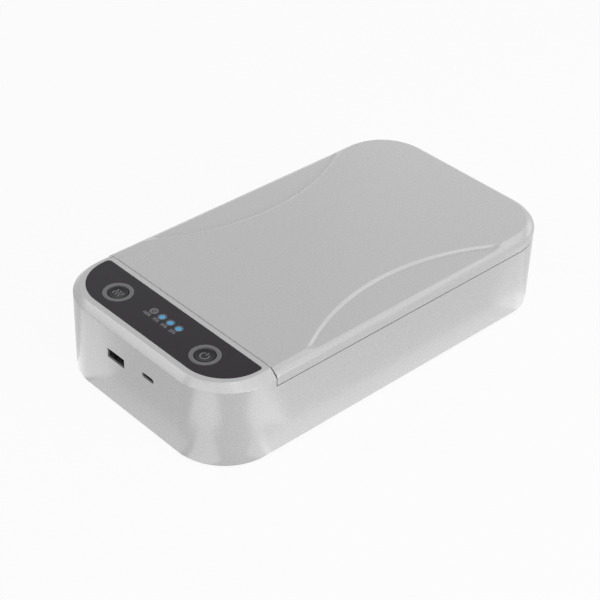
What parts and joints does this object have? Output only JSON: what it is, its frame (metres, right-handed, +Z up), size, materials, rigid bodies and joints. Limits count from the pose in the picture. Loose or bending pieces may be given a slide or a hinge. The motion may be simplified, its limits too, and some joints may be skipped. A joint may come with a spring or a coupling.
{
  "type": "ultraviolet phone sanitizer box",
  "caption": "Long rounded box with a rear-hinged bevelled lid, finger hollows, a chamber for a phone, front control deck with push buttons and lights, and USB sockets.",
  "frame": {"origin": "middle of the whole part's outline from above, on the plane that the feet stand on", "axes": "+Z up, -Y to the end with the control panel and the sockets, +Y to the hinge, X across"},
  "size_m": [0.1256, 0.2326, 0.048],
  "materials": {
    "case_silver": "moulded ABS with satin silver-gray paint",
    "cover_gray": "moulded ABS, fine spark texture",
    "lid_silver": "moulded ABS with satin silver-gray paint",
    "foot_rubber": "moulded silicone rubber",
    "liner_white": "moulded ABS, fine texture",
    "aroma_felt": "pressed felt",
    "panel_black": "hard-coated acrylic overlay, satin gloss",
    "ring_gray": "moulded ABS, satin",
    "button_dark": "moulded ABS, satin",
    "light_blue": "clear acrylic rod, lit blue from below",
    "light_off": "tinted acrylic rod, unlit",
    "lamp_glass": "drawn quartz glass",
    "reflector_sheet": "bright rolled sheet",
    "screw_steel": "zinc-plated steel",
    "pin_steel": "ground steel rod",
    "socket_steel": "nickel-plated steel sheet",
    "magnet_nickel": "nickel-plated magnet",
    "part_black": "moulded black plastic",
    "plunger_white": "moulded white nylon",
    "board_green": "glass-epoxy board with solder mask",
    "coil_copper": "varnished copper winding"
  },
  "bodies": {
    "case": {"body_shell": "case_silver", "bottom_cover": "cover_gray", "rubber_feet": "foot_rubber", "phone_rest_rails": "foot_rubber", "lower_lamp_holders": "foot_rubber", "chamber_tray": "liner_white", "aroma_cover": "liner_white", "aroma_pad": "aroma_felt", "control_panel": "panel_black", "button_rings": "ring_gray", "led_bezels": "ring_gray", "lit_light_guides": "light_blue", "unlit_light_guide": "light_off", "lower_lamp_tube": "lamp_glass", "lower_lamp_window": "lamp_glass", "lower_lamp_reflector": "reflector_sheet", "bottom_screws": "screw_steel", "tray_screws": "screw_steel", "board_screws": "screw_steel", "inverter_screws": "screw_steel", "hinge_pins": "pin_steel", "usb_a_shell": "socket_steel", "usb_c_shell": "socket_steel", "tray_magnets": "magnet_nickel", "usb_a_tongue": "part_black", "usb_a_riser": "part_black", "usb_c_tongue": "part_black", "controller_chip": "part_black", "lid_sensor": "part_black", "switch_housings": "part_black", "transformer_core": "part_black", "inverter_capacitors": "part_black", "lamp_connectors": "plunger_white", "status_leds": "plunger_white", "control_board": "board_green", "inverter_board": "board_green", "transformer_coil": "coil_copper"},
    "lid": {"lid_shell": "lid_silver", "lid_liner": "liner_white", "lid_liner_screws": "screw_steel", "lid_gasket": "foot_rubber", "upper_lamp_tube": "lamp_glass", "upper_lamp_holders": "foot_rubber", "upper_lamp_reflector": "reflector_sheet", "upper_lamp_window": "lamp_glass", "lid_magnets": "magnet_nickel", "sensor_magnet": "magnet_nickel"},
    "left_button": {"left_button_cap": "button_dark", "left_switch_plunger": "plunger_white"},
    "right_button": {"right_button_cap": "button_dark", "right_switch_plunger": "plunger_white"}
  },
  "joints": [
    {"name": "lid_hinge", "type": "hinge", "parent": "case", "child": "lid", "pos_m": [0, 0.11375, 0.0367], "axis": [-1, 0, 0], "range_deg": [0, 100]},
    {"name": "left_button_press", "type": "slide", "parent": "case", "child": "left_button", "axis": [0, 0, -1], "range_m": [0, 0.0005], "stiffness_N_per_m": 1000, "springref_m": -0.0005},
    {"name": "right_button_press", "type": "slide", "parent": "case", "child": "right_button", "axis": [0, 0, -1], "range_m": [0, 0.0005], "stiffness_N_per_m": 1000, "springref_m": -0.0005}
  ]
}
